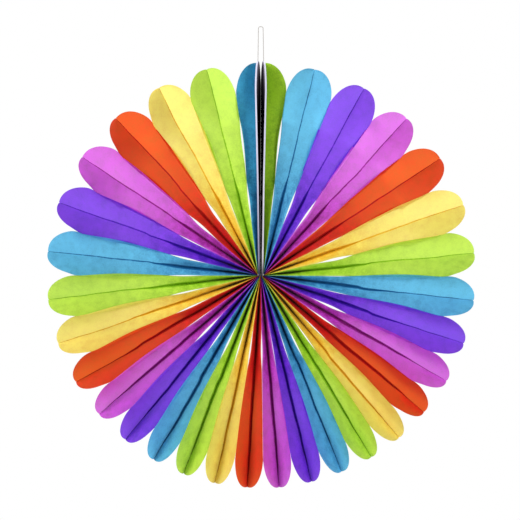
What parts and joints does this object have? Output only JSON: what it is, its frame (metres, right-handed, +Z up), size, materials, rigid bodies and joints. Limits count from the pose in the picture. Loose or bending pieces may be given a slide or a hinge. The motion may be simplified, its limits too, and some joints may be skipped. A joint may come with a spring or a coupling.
{
  "type": "paper fan rosette",
  "caption": "Round hanging rosette of creased tissue paper petals in six repeating colours, fanned right round between two white end cards, hung by a thread loop",
  "frame": {"origin": "the inside top of the hanging thread's loop, where a hook holds it; the hub is 290 mm below and the creases' plane 15 mm behind", "axes": "front faces -Y, so Y is the thin direction; +Z up, along the hanging thread; +X to the right as seen from the front"},
  "size_m": [0.5026, 0.0308, 0.5404],
  "materials": {
    "blue_tissue": "matt dyed tissue paper",
    "purple_tissue": "matt dyed tissue paper",
    "pink_tissue": "matt dyed tissue paper",
    "red_tissue": "matt dyed tissue paper",
    "yellow_tissue": "matt dyed tissue paper",
    "green_tissue": "matt dyed tissue paper",
    "white_card": "matt white board",
    "thread": "white cotton thread"
  },
  "bodies": {
    "root": {"petal_01": "blue_tissue", "petal_02": "purple_tissue", "petal_03": "pink_tissue", "petal_04": "red_tissue", "petal_05": "yellow_tissue", "petal_06": "green_tissue", "petal_07": "blue_tissue", "petal_08": "purple_tissue", "petal_09": "pink_tissue", "petal_10": "red_tissue", "petal_11": "yellow_tissue", "petal_12": "green_tissue", "petal_13": "blue_tissue", "petal_14": "purple_tissue", "petal_15": "pink_tissue", "petal_16": "red_tissue", "petal_17": "yellow_tissue", "petal_18": "green_tissue", "petal_19": "blue_tissue", "petal_20": "purple_tissue", "petal_21": "pink_tissue", "petal_22": "red_tissue", "petal_23": "yellow_tissue", "petal_24": "green_tissue", "petal_25": "blue_tissue", "petal_26": "purple_tissue", "petal_27": "pink_tissue", "petal_28": "red_tissue", "petal_29": "yellow_tissue", "petal_30": "green_tissue", "end_petal_right": "green_tissue", "end_petal_left": "blue_tissue", "card_right": "white_card", "card_left": "white_card", "hanging_thread": "thread"}
  },
  "joints": []
}
